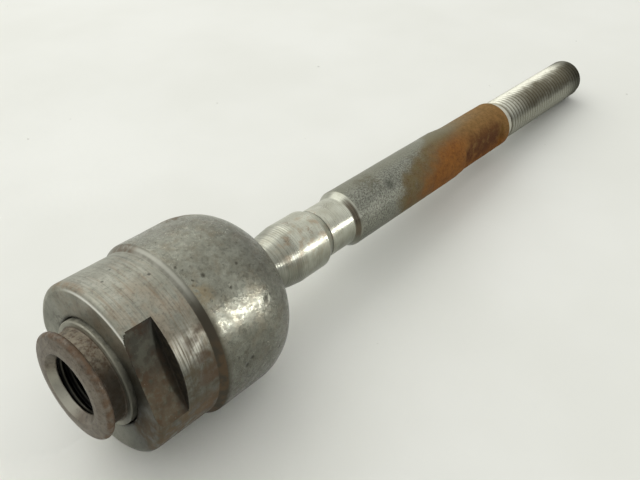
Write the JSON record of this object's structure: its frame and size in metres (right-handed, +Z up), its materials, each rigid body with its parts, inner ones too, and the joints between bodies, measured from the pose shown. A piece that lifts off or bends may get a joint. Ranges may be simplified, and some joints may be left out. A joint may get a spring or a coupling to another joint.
{
  "type": "inner tie rod end",
  "caption": "Axial ball joint: a flanged connector with a female rack thread, a forged socket housing with wrench flats, and a threaded tie rod on a captive ball.",
  "frame": {"origin": "on the axis where the rack thread's full wall starts, just inside its countersink", "axes": "+X runs along the axis from the rack thread to the rod's threaded tip; +Z is up, and the rod's wrench flats face +Y and -Y"},
  "size_m": [0.194, 0.038, 0.038],
  "materials": {
    "socket_housing": "forged grey dome, turned front barrel with light rust stains",
    "rack_connector": "dull brown-grey steel with a bright countersink and bead",
    "front_bearing": "acetal resin",
    "rear_bearing": "acetal resin",
    "pressure_plate": "stamped steel",
    "inner_disc_spring": "oiled spring steel",
    "outer_disc_spring": "oiled spring steel",
    "tie_rod": "bright turned collar, shot-blasted grey shank, rusty wrench flats and an oily thread"
  },
  "bodies": {
    "socket": {"socket_housing": "socket_housing", "rack_connector": "rack_connector", "front_bearing": "front_bearing", "pressure_plate": "pressure_plate", "inner_disc_spring": "inner_disc_spring", "outer_disc_spring": "outer_disc_spring"},
    "seat": {"rear_bearing": "rear_bearing"},
    "rod": {"tie_rod": "tie_rod"}
  },
  "joints": [
    {"name": "swivel", "type": "hinge", "parent": "socket", "child": "seat", "pos_m": [0.0316, 0, 0], "axis": [1, 0, 0], "continuous": true},
    {"name": "tilt", "type": "hinge", "parent": "seat", "child": "rod", "pos_m": [0.0316, 0, 0], "axis": [0, 0, 1], "range_deg": [-20, 20]}
  ]
}
